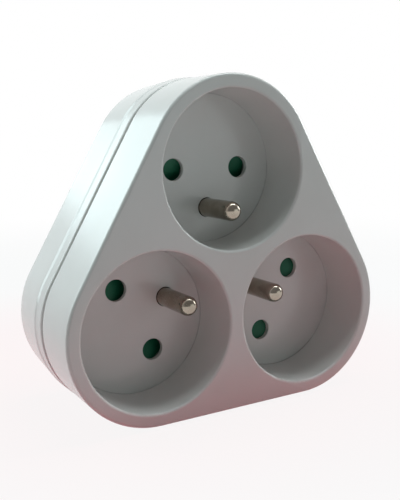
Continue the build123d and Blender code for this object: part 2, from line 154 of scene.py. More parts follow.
class Nodes:
    """Adds and links the nodes of one shader tree.

    Attributes:
        MIX_INPUTS: Indices of a Mix node's factor and of its two colours.
        MIX_OUTPUT: Index of its mixed colour.
    """

    MIX_INPUTS = (0, 6, 7)
    MIX_OUTPUT = 2

    def __init__(self, tree: bpy.types.NodeTree) -> None:
        """Keeps the tree that the nodes go to.

        Args:
            tree: Node tree of a material, a world or a group.
        """
        self.tree = tree

    def put(self, node: bpy.types.Node, name: str | int, value: object) -> None:
        """Links a socket to an input of a node, or sets the input.

        Args:
            node: The node.
            name: Name or index of the input.
            value: Source socket or value.
        """
        if isinstance(value, bpy.types.NodeSocket):
            self.tree.links.new(value, node.inputs[name])
        else:
            node.inputs[name].default_value = value

    def add(self, kind: str, inputs: dict | None = None, **settings: object) -> bpy.types.Node:
        """Adds a node.

        Args:
            kind: Blender's type name of the node.
            inputs: Values or source sockets by input name or index.
            settings: Properties to set on the node.

        Returns:
            The new node.
        """
        node = self.tree.nodes.new(kind)
        for name, value in settings.items():
            setattr(node, name, value)
        for name, value in (inputs or {}).items():
            self.put(node, name, value)
        return node

    def maths(self, operation: str, *values: Value) -> bpy.types.NodeSocket:
        """Adds a Math node.

        Args:
            operation: Name of the operation.
            values: Numbers or sockets for its inputs.

        Returns:
            The socket with the result.
        """
        inputs = dict(enumerate(values))
        return self.add("ShaderNodeMath", inputs, operation=operation).outputs[0]

    def remap(
        self, value: Value, low: float, high: float, start: float = 0.0, end: float = 1.0
    ) -> bpy.types.NodeSocket:
        """Maps a range of a value smoothly onto another range.

        Args:
            value: Source socket.
            low: Value that gives start.
            high: Value that gives end.
            start: Result at the low value.
            end: Result at the high value.

        Returns:
            The socket with the result.
        """
        inputs = {"Value": value, "From Min": low, "From Max": high, "To Min": start, "To Max": end}
        return self.add("ShaderNodeMapRange", inputs, interpolation_type="SMOOTHSTEP").outputs["Result"]

    def blend(self, factor: Value, first: Paint, second: Paint) -> bpy.types.NodeSocket:
        """Mixes two colours.

        Args:
            factor: Socket or number, 0 for the first colour and 1 for the second.
            first: Colour or socket.
            second: Colour or socket.

        Returns:
            The socket with the mixed colour.
        """
        paints = [(*paint, 1.0) if isinstance(paint, tuple) else paint for paint in (first, second)]
        inputs = dict(zip(self.MIX_INPUTS, (factor, *paints)))
        return self.add("ShaderNodeMix", inputs, data_type="RGBA").outputs[self.MIX_OUTPUT]

    def effect(
        self, effect: Effect, vector: bpy.types.NodeSocket, **values: float
    ) -> bpy.types.NodeSocket:
        """Places a shared effect.

        Args:
            effect: Which group to place.
            vector: Socket with the coordinates.
            values: Input values by socket name.

        Returns:
            The group's only output.
        """
        inputs = {"Vector": vector, **values}
        return self.add("ShaderNodeGroup", inputs, node_tree=EffectLibrary.get(effect)).outputs[0]


class Surface(Nodes):
    """Nodes of a new material, with its Principled shader and its Object coordinates."""

    def __init__(self, name: str) -> None:
        """Makes the material.

        Args:
            name: Name of the material.
        """
        self.material = bpy.data.materials.new(name)
        self.material.use_nodes = True
        super().__init__(self.material.node_tree)
        self.shader = self.tree.nodes["Principled BSDF"]
        self.where = self.add("ShaderNodeTexCoord").outputs["Object"]

    def feed(self, name: str, value: Value) -> None:
        """Links a socket to an input of the Principled shader, or sets the input."""
        self.put(self.shader, name, value)


class EffectLibrary:
    """Builds each shared effect once.

    Attributes:
        GRAIN_DETAIL: Noise detail of the fine grain.
        WAVE_SHARE: Scale of the slow waviness as a share of the grain's scale.
        WAVE_DETAIL: Noise detail of the slow waviness.
        SCUFF_RUNS: Turn and stretch of the two runs of handling marks.
        SCUFF_DETAIL: Noise detail of the marks.
        SCUFF_EDGE: Noise values between which a mark sets in.
        PATCH_SCALE: Scale of the patches that hold the marks.
        PATCH_DETAIL: Noise detail of the patches.
        PATCH_EDGE: Noise values between which a patch sets in.
        DRIFT_DETAIL: Noise detail of the drift.
        DRIFT_EDGE: Noise values at the two ends of the drift.
    """

    GRAIN_DETAIL = 3.0
    WAVE_SHARE = 0.08
    WAVE_DETAIL = 1.0
    SCUFF_RUNS = (((0.4, 0.2, 0.7), (1.0, 9.0, 1.0)), ((1.1, 0.5, -0.6), (7.0, 1.0, 1.0)))
    SCUFF_DETAIL = 2.0
    SCUFF_EDGE = (0.62, 0.7)
    PATCH_SCALE = 60.0
    PATCH_DETAIL = 2.0
    PATCH_EDGE = (0.45, 0.65)
    DRIFT_DETAIL = 4.0
    DRIFT_EDGE = (0.32, 0.68)

    @classmethod
    def get(cls, effect: Effect) -> bpy.types.NodeTree:
        """Gives the node group of an effect, and builds it at first use.

        Args:
            effect: Which effect.

        Returns:
            Its node group.
        """
        found = bpy.data.node_groups.get(effect.value)
        if found:
            return found
        makers = {
            Effect.GRAIN: cls._grain,
            Effect.SCUFFS: cls._scuffs,
            Effect.SPECKS: cls._specks,
            Effect.DRIFT: cls._drift,
        }
        return makers[effect]()

    @staticmethod
    def _start(effect: Effect, inputs: dict[str, float], output: str) -> tuple[Nodes, bpy.types.Node]:
        """Makes an empty group with its sockets.

        Args:
            effect: Which effect.
            inputs: Default values of the float inputs by name.
            output: Name of the float output.

        Returns:
            The node helper and the group's input node.
        """
        tree = bpy.data.node_groups.new(effect.value, "ShaderNodeTree")
        tree.interface.new_socket("Vector", in_out="INPUT", socket_type="NodeSocketVector")
        for name, value in inputs.items():
            socket = tree.interface.new_socket(name, in_out="INPUT", socket_type="NodeSocketFloat")
            socket.default_value = value
        tree.interface.new_socket(output, in_out="OUTPUT", socket_type="NodeSocketFloat")
        nodes = Nodes(tree)
        return nodes, nodes.add("NodeGroupInput")

    @staticmethod
    def _end(nodes: Nodes, result: bpy.types.NodeSocket) -> bpy.types.NodeTree:
        """Links the result to the group's output.

        Args:
            nodes: Helper of the group.
            result: Socket to put out.

        Returns:
            The finished group.
        """
        nodes.add("NodeGroupOutput", {0: result})
        return nodes.tree

    @staticmethod
    def _noise(
        nodes: Nodes, vector: bpy.types.NodeSocket, scale: Value, detail: float
    ) -> bpy.types.NodeSocket:
        """Adds a noise texture.

        Args:
            nodes: Helper of the group.
            vector: Socket with the coordinates.
            scale: Scale of the noise.
            detail: Its detail.

        Returns:
            The socket with the noise values.
        """
        inputs = {"Vector": vector, "Scale": scale, "Detail": detail}
        return nodes.add("ShaderNodeTexNoise", inputs).outputs[0]

    @classmethod
    def _grain(cls) -> bpy.types.NodeTree:
        """Height of a moulded skin: fine grain on a slow waviness.

        Returns:
            The node group.
        """
        nodes, given = cls._start(Effect.GRAIN, {"Scale": 2500.0, "Waviness": 0.5}, "Height")
        vector, scale = given.outputs["Vector"], given.outputs["Scale"]
        fine = cls._noise(nodes, vector, scale, cls.GRAIN_DETAIL)
        slow = cls._noise(nodes, vector, nodes.maths("MULTIPLY", scale, cls.WAVE_SHARE), cls.WAVE_DETAIL)
        wave = nodes.maths("MULTIPLY", slow, given.outputs["Waviness"])
        return cls._end(nodes, nodes.maths("ADD", fine, wave))

    @classmethod
    def _scuffs(cls) -> bpy.types.NodeTree:
        """Mask of hairline handling marks in two directions.

        Returns:
            The node group.
        """
        nodes, given = cls._start(Effect.SCUFFS, {"Scale": 300.0, "Reach": 0.5}, "Mask")
        vector, scale = given.outputs["Vector"], given.outputs["Scale"]
        lines = []
        for turn, stretch in cls.SCUFF_RUNS:
            inputs = {"Vector": vector, "Rotation": turn, "Scale": stretch}
            mapping = nodes.add("ShaderNodeMapping", inputs)
            noise = cls._noise(nodes, mapping.outputs[0], scale, cls.SCUFF_DETAIL)
            lines.append(nodes.remap(noise, *cls.SCUFF_EDGE))
        patches = cls._noise(nodes, vector, cls.PATCH_SCALE, cls.PATCH_DETAIL)
        patch = nodes.remap(patches, *cls.PATCH_EDGE)
        marks = nodes.maths("MULTIPLY", nodes.maths("MAXIMUM", *lines), patch)
        return cls._end(nodes, nodes.maths("MULTIPLY", marks, given.outputs["Reach"]))

    @classmethod
    def _specks(cls) -> bpy.types.NodeTree:
        """Mask of scattered specks of dust and dirt.

        Returns:
            The node group.
        """
        nodes, given = cls._start(Effect.SPECKS, {"Scale": 180.0, "Share": 0.2, "Size": 0.1}, "Mask")
        inputs = {"Vector": given.outputs["Vector"], "Scale": given.outputs["Scale"]}
        cells = nodes.add("ShaderNodeTexVoronoi", inputs)
        tone = nodes.add("ShaderNodeSeparateColor", {0: cells.outputs["Color"]})
        chosen = nodes.maths("LESS_THAN", tone.outputs[0], given.outputs["Share"])
        radius = nodes.maths("MULTIPLY", tone.outputs[1], given.outputs["Size"])
        inside = nodes.maths("LESS_THAN", cells.outputs["Distance"], radius)
        return cls._end(nodes, nodes.maths("MULTIPLY", chosen, inside))

    @classmethod
    def _drift(cls) -> bpy.types.NodeTree:
        """Slow drift between 0 and 1 over the surface.

        Returns:
            The node group.
        """
        nodes, given = cls._start(Effect.DRIFT, {"Scale": 30.0}, "Factor")
        noise = cls._noise(nodes, given.outputs["Vector"], given.outputs["Scale"], cls.DRIFT_DETAIL)
        return cls._end(nodes, nodes.remap(noise, *cls.DRIFT_EDGE))


@dataclass(frozen=True)
class Grime:
    """Painted shade in the parting groove and in the corners of the recesses, with scattered dust specks.

    Attributes:
        seam: Y of the middle of the parting groove.
        seam_reach: Distances from it between which the painted shade ends.
        seam_share: Strength of the painted shade in the groove.
        floor: Y of the recess floors.
        reach: Distance of the outlet axes from the plug axis.
        radius: Radius of the recess floors.
        corner: Width of the painted shade in their corners.
        corner_share: Strength of the painted shade in the corners.
        patches: Scale of the patches that break up the painted shade in the corners.
        specks: Share of the possible specks that show.
        speck_scale: Scale of the specks' pattern.
        speck_size: Largest speck as a share of a cell of the pattern.
        colour: Colour of the painted shade and of the dust specks.
    """

    seam: float = -34.6 * MM
    seam_reach: tuple[float, float] = (0.26 * MM, 0.36 * MM)
    seam_share: float = 0.3
    floor: float = -37.25 * MM
    reach: float = OUTLET_REACH
    radius: float = 18.85 * MM
    corner: float = 0.35 * MM
    corner_share: float = 0.3
    patches: float = 150.0
    specks: float = 0.006
    speck_scale: float = 240.0
    speck_size: float = 0.09
    colour: Colour = (0.09, 0.085, 0.08)

    def mask(self, nodes: Nodes, where: bpy.types.NodeSocket) -> bpy.types.NodeSocket:
        """Mask of the painted shade in the groove and the corners, and of the dust specks.

        Args:
            nodes: Helper of the material.
            where: Object coordinates.

        Returns:
            Socket with the mask.
        """
        depth = nodes.add("ShaderNodeSeparateXYZ", {0: where}).outputs["Y"]
        away = nodes.maths("ABSOLUTE", nodes.maths("SUBTRACT", depth, self.seam))
        # Painted shade along the parting groove
        seam = nodes.remap(away, *self.seam_reach, self.seam_share, 0.0)
        # Painted shade in the recess corners, broken into patches
        patches = nodes.effect(Effect.DRIFT, where, Scale=self.patches)
        corners = nodes.maths("MULTIPLY", self._corners(nodes, where), patches)
        # Dust specks scattered over the surface
        pattern = {"Scale": self.speck_scale, "Share": self.specks, "Size": self.speck_size}
        specks = nodes.effect(Effect.SPECKS, where, **pattern)
        return nodes.maths("MAXIMUM", nodes.maths("MAXIMUM", seam, corners), specks)

    def _corners(self, nodes: Nodes, where: bpy.types.NodeSocket) -> bpy.types.NodeSocket:
        """Mask of the painted shade in the corners between the walls and the floors of the recesses.

        Args:
            nodes: Helper of the material.
            where: Object coordinates.

        Returns:
            Socket with the mask.
        """
        masks = []
        for outlet in Outlet:
            centre = outlet.outward * self.reach
            centre.y = self.floor
            inputs = {0: where, 1: tuple(centre)}
            from_centre = nodes.add("ShaderNodeVectorMath", inputs, operation="SUBTRACT").outputs[0]
            across = nodes.add("ShaderNodeSeparateXYZ", {0: from_centre})
            square = nodes.maths("MULTIPLY", across.outputs["X"], across.outputs["X"])
            square = nodes.maths("MULTIPLY_ADD", across.outputs["Z"], across.outputs["Z"], square)
            beside = nodes.maths("SUBTRACT", nodes.maths("SQRT", square), self.radius)
            square = nodes.maths("MULTIPLY", beside, beside)
            square = nodes.maths("MULTIPLY_ADD", across.outputs["Y"], across.outputs["Y"], square)
            masks.append(nodes.remap(nodes.maths("SQRT", square), 0.0, self.corner, self.corner_share, 0.0))
        return nodes.maths("MAXIMUM", nodes.maths("MAXIMUM", masks[0], masks[1]), masks[2])


@dataclass(frozen=True)
class Plastic:
    """Finish of a moulded plastic piece.

    Attributes:
        name: Material name.
        colour: Main colour.
        shade: Colour that the surface drifts towards.
        gloss: Roughness of the clean and of the scuffed surface.
        grain: Scale of the moulded grain.
        depth: Height of the grain in metres.
        grime: Painted shade in the groove and the recess corners, with dust specks, or None.
        drift: Scale of the slow drift of colour.
        scuffs: Scale of the handling marks.
        waviness: Share of slow waviness in the grain.
        ior: Index of refraction.
    """

    name: str
    colour: Colour
    shade: Colour
    gloss: tuple[float, float]
    grain: float
    depth: float
    grime: Grime | None = None
    drift: float = 35.0
    scuffs: float = 420.0
    waviness: float = 1.2
    ior: float = 1.5

    def material(self) -> bpy.types.Material:
        """Builds the material.

        Returns:
            The material.
        """
        surface = Surface(self.name)
        where = surface.where
        drift = surface.effect(Effect.DRIFT, where, Scale=self.drift)
        scuffs = surface.effect(Effect.SCUFFS, where, Scale=self.scuffs, Reach=1.0)
        colour = surface.blend(drift, self.colour, self.shade)
        # Painted shade in the parting groove and the recess corners, and dust specks, darken the colour
        if self.grime:
            colour = surface.blend(self.grime.mask(surface, where), colour, self.grime.colour)
        surface.feed("Base Color", colour)
        surface.feed("Roughness", surface.remap(scuffs, 0.0, 1.0, *self.gloss))
        grain = surface.effect(Effect.GRAIN, where, Scale=self.grain, Waviness=self.waviness)
        bump = surface.add("ShaderNodeBump", {"Height": grain, "Distance": self.depth, "Strength": 1.0})
        surface.feed("Normal", bump.outputs[0])
        surface.feed("IOR", self.ior)
        return surface.material


@dataclass(frozen=True)
class Metal:
    """Finish of a bare or plated metal piece.

    Attributes:
        name: Material name.
        colour: Colour of the clean metal.
        tarnish: Colour of the dull patches.
        gloss: Roughness of the clean metal and of the marks.
        rings: Spacing of turning marks along Y in metres, or None.
        drift: Scale of the dull patches.
        dulling: Share of a dull patch in the wear.
        scuffs: Scale of the marks.
        grain: Scale of the fine grain.
        waviness: Share of slow waviness in the grain.
        wander: Unevenness of the turning marks.
        depth: Height of the grain in metres.
        relief: Strength of the grain and the turning marks.
    """

    name: str
    colour: Colour
    tarnish: Colour
    gloss: tuple[float, float]
    rings: float | None = None
    drift: float = 260.0
    dulling: float = 0.5
    scuffs: float = 900.0
    grain: float = 4000.0
    waviness: float = 0.6
    wander: float = 0.4
    depth: float = 0.002 * MM
    relief: float = 0.6

    def material(self) -> bpy.types.Material:
        """Builds the material.

        Returns:
            The material.
        """
        surface = Surface(self.name)
        where = surface.where
        drift = surface.effect(Effect.DRIFT, where, Scale=self.drift)
        scuffs = surface.effect(Effect.SCUFFS, where, Scale=self.scuffs, Reach=1.0)
        surface.feed("Base Color", surface.blend(drift, self.colour, self.tarnish))
        wear = surface.maths("MAXIMUM", scuffs, surface.maths("MULTIPLY", drift, self.dulling))
        surface.feed("Roughness", surface.remap(wear, 0.0, 1.0, *self.gloss))
        height = surface.effect(Effect.GRAIN, where, Scale=self.grain, Waviness=self.waviness)
        if self.rings:
            scale = math.pi / (WAVE_RATE * self.rings)
            inputs = {"Vector": where, "Scale": scale, "Distortion": self.wander}
            wave = surface.add("ShaderNodeTexWave", inputs, bands_direction="Y")
            height = surface.maths("ADD", height, wave.outputs["Fac"])
        inputs = {"Height": height, "Distance": self.depth, "Strength": self.relief}
        bump = surface.add("ShaderNodeBump", inputs)
        surface.feed("Normal", bump.outputs[0])
        surface.feed("Metallic", 1.0)
        return surface.material


class Slot(Enum):
    """Material slots of the record."""

    CASING = "casing_white"
    CARRIER = "carrier_plastic"
    SHUTTER = "shutter_green"
    PIN = "pin_nickel"
    STRIP = "strip_brass"
    SCREW = "screw_steel"
    SPRING = "spring_steel"


FINISHES: dict[Slot, Plastic | Metal] = {
    Slot.CASING: Plastic(
        name="gloss_white_plastic",
        colour=(0.74, 0.735, 0.72),
        shade=(0.71, 0.70, 0.68),
        gloss=(0.19, 0.23),
        grain=1500.0,
        depth=0.0015 * MM,
        # Painted shade in the parting groove and the recess corners, with dust specks
        grime=Grime(),
    ),
    Slot.CARRIER: Plastic(
        name="grey_carrier_plastic",
        colour=(0.32, 0.31, 0.30),
        shade=(0.27, 0.265, 0.26),
        gloss=(0.48, 0.6),
        grain=2200.0,
        depth=0.01 * MM,
    ),
    Slot.SHUTTER: Plastic(
        name="green_shutter_plastic",
        colour=(0.008, 0.16, 0.08),
        shade=(0.006, 0.12, 0.06),
        gloss=(0.5, 0.6),
        grain=2200.0,
        depth=0.008 * MM,
    ),
    Slot.PIN: Metal(
        name="nickel_plate",
        colour=(0.42, 0.37, 0.31),
        tarnish=(0.34, 0.29, 0.235),
        gloss=(0.12, 0.30),
        rings=0.35 * MM,
    ),
    Slot.STRIP: Metal(
        name="bare_brass",
        colour=(0.78, 0.57, 0.26),
        tarnish=(0.55, 0.37, 0.16),
        gloss=(0.25, 0.45),
    ),
    Slot.SCREW: Metal(
        name="zinc_plated_steel",
        colour=(0.62, 0.63, 0.64),
        tarnish=(0.48, 0.48, 0.47),
        gloss=(0.26, 0.42),
    ),
    Slot.SPRING: Metal(
        name="spring_wire",
        colour=(0.54, 0.54, 0.55),
        tarnish=(0.40, 0.39, 0.38),
        gloss=(0.24, 0.40),
    ),
}


class Bench:
    """Operators that several pieces share."""

    @staticmethod
    def clear_selection() -> None:
        """Deselects every object."""
        bpy.ops.object.select_all(action="DESELECT")

    @staticmethod
    def only(piece: bpy.types.Object) -> None:
        """Makes one object the selected and active one.

        Args:
            piece: The object.
        """
        Bench.clear_selection()
        piece.select_set(True)
        bpy.context.view_layer.objects.active = piece

    @staticmethod
    def apply(piece: bpy.types.Object) -> None:
        """Applies an object's modifiers and its transform.

        Args:
            piece: The object.
        """
        Bench.only(piece)
        for modifier in list(piece.modifiers):
            bpy.ops.object.modifier_apply(modifier=modifier.name)
        bpy.ops.object.transform_apply(location=True, rotation=True, scale=True)

    @staticmethod
    def trim(piece: bpy.types.Object, point: Point, normal: Point) -> None:
        """Cuts a piece flat, closes the cut and drops what lies on the normal's side.

        Args:
            piece: The object.
            point: Point on the cut.
            normal: Direction of the side that goes.
        """
        Bench.only(piece)
        bpy.ops.object.mode_set(mode="EDIT")
        bpy.ops.mesh.select_all(action="SELECT")
        bpy.ops.mesh.bisect(plane_co=point, plane_no=normal, use_fill=True, clear_outer=True)
        bpy.ops.object.mode_set(mode="OBJECT")

    @staticmethod
    def clean(piece: bpy.types.Object) -> None:
        """Merges doubles and turns the faces outwards.

        Args:
            piece: The object.
        """
        Bench.only(piece)
        bpy.ops.object.mode_set(mode="EDIT")
        bpy.ops.mesh.select_all(action="SELECT")
        bpy.ops.mesh.remove_doubles(threshold=DOUBLES)
        bpy.ops.mesh.normals_make_consistent(inside=False)
        bpy.ops.object.mode_set(mode="OBJECT")

    @staticmethod
    def smooth(piece: bpy.types.Object, degrees: float) -> None:
        """Shades a piece smooth, with sharp edges above an angle.

        Args:
            piece: The object.
            degrees: The angle.
        """
        Bench.only(piece)
        bpy.ops.object.shade_smooth_by_angle(angle=math.radians(degrees))

    @staticmethod
    def coil(
        sides: int, section: tuple[float, float], radius: float, turns: float, pitch: float
    ) -> bpy.types.Object:
        """Sweeps a ring round Z as a screw, from Z = 0 upwards.

        Args:
            sides: Corners of the ring.
            section: Half width and half height of the ring.
            radius: Distance of the ring's middle from Z.
            turns: Number of turns.
            pitch: Rise of one turn.

        Returns:
            The swept piece, open at both ends.
        """
        Bench.clear_selection()
        upright = (QUARTER_TURN, 0.0, 0.0)
        bpy.ops.mesh.primitive_circle_add(
            vertices=sides, radius=1.0, location=(radius, 0.0, 0.0), rotation=upright
        )
        piece = bpy.context.object
        piece.scale = (*section, 1.0)
        bpy.ops.object.transform_apply(location=True, rotation=True, scale=True)
        sweep = piece.modifiers.new("sweep", "SCREW")
        sweep.axis = "Z"
        sweep.angle = 2.0 * math.pi * turns
        sweep.screw_offset = pitch * turns
        sweep.steps = round(COIL_STEPS * turns)
        sweep.render_steps = sweep.steps
        bpy.ops.object.modifier_apply(modifier=sweep.name)
        return piece

    @staticmethod
    def select_faces(piece: bpy.types.Object, chosen: Callable[[bpy.types.MeshPolygon], bool]) -> None:
        """Selects the faces that a test picks and leaves the piece in edit mode.

        Args:
            piece: The object.
            chosen: Test of a face.
        """
        Bench.only(piece)
        bpy.ops.object.mode_set(mode="EDIT")
        bpy.ops.mesh.select_mode(type="FACE")
        bpy.ops.mesh.select_all(action="DESELECT")
        bpy.ops.object.mode_set(mode="OBJECT")
        for face in piece.data.polygons:
            face.select = chosen(face)
        bpy.ops.object.mode_set(mode="EDIT")


@dataclass
class SmoothCopy:
    """A merged and smoothly shaded copy of a node that has large round faces.

    Attributes:
        node: Name of the node.
        piece: Name of the copy.
        finish: Its material slot.
        merge: Merge distance.
        crease: Angle above which an edge stays sharp.
        flat: Whether large flat faces keep their own shading beside small fillets.
    """

    node: str
    piece: str
    finish: Slot
    merge: float = 0.002 * MM
    crease: float = 26.0
    flat: bool = False

    def build(self, nodes: dict[str, bpy.types.Object]) -> bpy.types.Object:
        """Copies the node and joins its loose faces.

        Args:
            nodes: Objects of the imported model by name.

        Returns:
            The copy.
        """
        copy = bpy.data.objects.new(self.piece, nodes[self.node].data.copy())
        bpy.context.scene.collection.objects.link(copy)
        Bench.only(copy)
        bpy.ops.object.mode_set(mode="EDIT")
        bpy.ops.mesh.select_all(action="SELECT")
        bpy.ops.mesh.customdata_custom_splitnormals_clear()
        bpy.ops.mesh.remove_doubles(threshold=self.merge)
        bpy.ops.object.mode_set(mode="OBJECT")
        Bench.smooth(copy, self.crease)
        if self.flat:
            weighting = copy.modifiers.new("weighting", "WEIGHTED_NORMAL")
            weighting.keep_sharp = True
            bpy.ops.object.modifier_apply(modifier=weighting.name)
        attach(copy, "casing")
        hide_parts(self.node)
        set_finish(copy, self.finish.value)
        return copy


@dataclass
class CasingScrew:
    """Pan-head screw with a cross recess and a threaded shank, driven from the rear.

    Attributes:
        reach: Distance of the screws from the plug axis.
        seat: Y of the face that the head bears on.
        length: Length of the shank.
        radius: Radius over the thread.
        root: Radius at the thread's root.
        pitch: Thread pitch.
        head: Radius of the head.
        height: Height of the head.
        slot: Width of the cross recess.
        slot_reach: Half length of the cross recess.
        slot_depth: Depth of the cross recess.
        slot_taper: Size of the bottom of the recess as a share of its mouth.
        dome: Rounding of the head.
        dome_steps: Steps of the rounding.
        tip: Length of the narrowed tip.
        tip_taper: Size of the end of the tip as a share of the core.
        flank: Half width of the thread at the core.
        head_sides: Sides of the head.
        core_sides: Sides of the core.
        thread_sides: Sides of the thread's section.
        turn_part: A screw is turned by its outlet's angle divided by this.
        crease: Angle above which an edge stays sharp.
    """

    reach: float = 27.126 * MM
    seat: float = -20.4 * MM
    length: float = 20.0 * MM
    radius: float = 1.43 * MM
    root: float = 1.08 * MM
    pitch: float = 1.25 * MM
    head: float = 2.68 * MM
    height: float = 1.98 * MM
    slot: float = 0.75 * MM
    slot_reach: float = 1.6 * MM
    slot_depth: float = 1.1 * MM
    slot_taper: float = 0.7
    dome: float = 0.99 * MM
    dome_steps: int = 6
    tip: float = 1.0 * MM
    tip_taper: float = 0.55
    flank: float = 0.4 * MM
    head_sides: int = 64
    core_sides: int = 40
    thread_sides: int = 4
    turn_part: int = 3
    crease: float = 32.0

    def build(self) -> list[bpy.types.Object]:
        """Builds one screw along Z and copies it to its three places.

        Returns:
            The three screws.
        """
        screw = self._head()
        shank = self._shank()
        Bench.only(screw)
        shank.select_set(True)
        bpy.ops.object.join()
        Bench.smooth(screw, self.crease)
        screws = [screw] + [self._copy(screw) for _ in range(len(Outlet) - 1)]
        for piece, outlet in zip(screws, Outlet):
            self._place(piece, outlet)
        return screws

    def _head(self) -> bpy.types.Object:
        """Turns the domed head, with its seat at Z = 0 and its top above, and cuts its cross recess.

        Returns:
            The head.
        """
        Bench.clear_selection()
        bpy.ops.mesh.primitive_cylinder_add(
            vertices=self.head_sides,
            radius=self.head,
            depth=self.height,
            location=(0.0, 0.0, self.height / 2),
        )
        head = bpy.context.object
        bpy.ops.object.transform_apply(location=True)
        Bench.select_faces(head, lambda face: face.normal.z > END_FACE)
        bpy.ops.mesh.bevel(offset=self.dome, segments=self.dome_steps, affect="EDGES")
        bpy.ops.object.mode_set(mode="OBJECT")
        for turn in (0.0, QUARTER_TURN):
            self._recess(head, turn)
        return head

    def _recess(self, head: bpy.types.Object, turn: float) -> None:
        """Cuts one arm of the cross recess.

        Args:
            head: The head.
            turn: Angle of the arm about Z.
        """
        Bench.clear_selection()
        bpy.ops.mesh.primitive_cube_add(size=1.0, location=(0.0, 0.0, self.height), rotation=(0.0, 0.0, turn))
        cutter = bpy.context.object
        cutter.scale = (2 * self.slot_reach, self.slot, 2 * self.slot_depth)
        bpy.ops.object.transform_apply(location=True, rotation=True, scale=True)
        Bench.select_faces(cutter, lambda face: face.normal.z < -END_FACE)
        bpy.ops.transform.resize(value=(self.slot_taper, self.slot_taper, 1.0))
        bpy.ops.object.mode_set(mode="OBJECT")
        cut = head.modifiers.new("recess", "BOOLEAN")
        cut.operation = "DIFFERENCE"
        cut.object = cutter
        Bench.only(head)
        bpy.ops.object.modifier_apply(modifier=cut.name)
        bpy.data.objects.remove(cutter)

    def _shank(self) -> bpy.types.Object:
        """Makes the core with a narrowed tip, and the thread round it.

        Returns:
            The shank.
        """
        Bench.clear_selection()
        depth = self.length - self.tip
        bpy.ops.mesh.primitive_cylinder_add(
            vertices=self.core_sides,
            radius=self.root,
            depth=depth,
            location=(0.0, 0.0, -depth / 2),
        )
        core = bpy.context.object
        bpy.ops.object.transform_apply(location=True)
        Bench.select_faces(core, lambda face: face.normal.z < -END_FACE)
        bpy.ops.mesh.extrude_region_move(TRANSFORM_OT_translate={"value": (0.0, 0.0, -self.tip)})
        bpy.ops.transform.resize(value=(self.tip_taper, self.tip_taper, 1.0))
        bpy.ops.object.mode_set(mode="OBJECT")
        ridge = self.radius - self.root
        turns = math.floor(depth / self.pitch)
        thread = Bench.coil(self.thread_sides, (ridge, self.flank), self.root, turns, self.pitch)
        thread.location.z = -depth
        Bench.apply(thread)
        Bench.clean(thread)
        Bench.trim(thread, (0.0, 0.0, -depth), DOWN)
        Bench.only(core)
        thread.select_set(True)
        bpy.ops.object.join()
        return core

    @staticmethod
    def _copy(screw: bpy.types.Object) -> bpy.types.Object:
        """Copies a screw.

        Args:
            screw: The screw.

        Returns:
            The copy, with a mesh of its own.
        """
        copy = bpy.data.objects.new("screw", screw.data.copy())
        bpy.context.scene.collection.objects.link(copy)
        return copy

    def _place(self, screw: bpy.types.Object, outlet: Outlet) -> None:
        """Turns a screw to face the rear and sets it opposite an outlet.

        Args:
            screw: The screw, along Z at the origin.
            outlet: Outlet that the screw lies opposite to.
        """
        screw.name = f"casing_screw_{outlet.label}"
        screw.data.name = screw.name
        screw.rotation_euler = (-QUARTER_TURN, math.radians(outlet.value / self.turn_part), 0.0)
        screw.location = Vector((0.0, self.seat, 0.0)) - outlet.outward * self.reach
        Bench.apply(screw)
        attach(screw, "casing")
        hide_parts("casing_screws")
        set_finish(screw, Slot.SCREW.value)


@dataclass
class ReturnSpring:
    """Coil spring that closes a shutter, with ground ends.

    Attributes:
        outlet_reach: Distance of the outlet axes from the plug axis.
        start: Distance of the spring's moving end from its outlet axis.
        length: Length at rest.
        depth: Y of the spring's axis.
        coil: Mean coil radius.
        wire: Wire radius.
        turns: Number of turns.
        spare: Part of a turn that is wound past each end and ground off.
        travel: Travel of the shutter; not used.
        sides: Sides of the wire.
        crease: Angle above which an edge stays sharp.
    """

    outlet_reach: float = OUTLET_REACH
    start: float = 3.3 * MM
    length: float = 12.7 * MM
    depth: float = -34.2 * MM
    coil: float = 1.1 * MM
    wire: float = 0.2 * MM
    turns: float = 8.0
    spare: float = 0.25
    travel: float = 6.3 * MM
    sides: int = 12
    crease: float = 40.0

    def build(self) -> list[bpy.types.Object]:
        """Winds one spring for each outlet.

        Returns:
            The three springs.
        """
        return [self._wind(outlet) for outlet in Outlet]

    def _wind(self, outlet: Outlet) -> bpy.types.Object:
        """Winds the spring of an outlet and sets it in its place.

        Args:
            outlet: The outlet.

        Returns:
            The spring.
        """
        pitch = self.length / self.turns
        wound = self.turns + 2 * self.spare
        spring = Bench.coil(self.sides, (self.wire, self.wire), self.coil, wound, pitch)
        spring.location.z = -self.spare * pitch
        Bench.apply(spring)
        Bench.clean(spring)
        Bench.trim(spring, (0.0, 0.0, 0.0), DOWN)
        Bench.trim(spring, (0.0, 0.0, self.length), UP)
        Bench.smooth(spring, self.crease)
        spring.name = f"return_spring_{outlet.label}"
        spring.data.name = spring.name
        place = outlet.outward * (self.outlet_reach + self.start)
        place.y = self.depth
        spring.rotation_mode = "QUATERNION"
        spring.rotation_quaternion = outlet.outward.to_track_quat("Z", "Y")
        spring.location = place
        Bench.apply(spring)
        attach(spring, "casing")
        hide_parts(f"shutter_spring_{outlet.label}")
        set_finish(spring, Slot.SPRING.value)
        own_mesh(spring)
        return spring


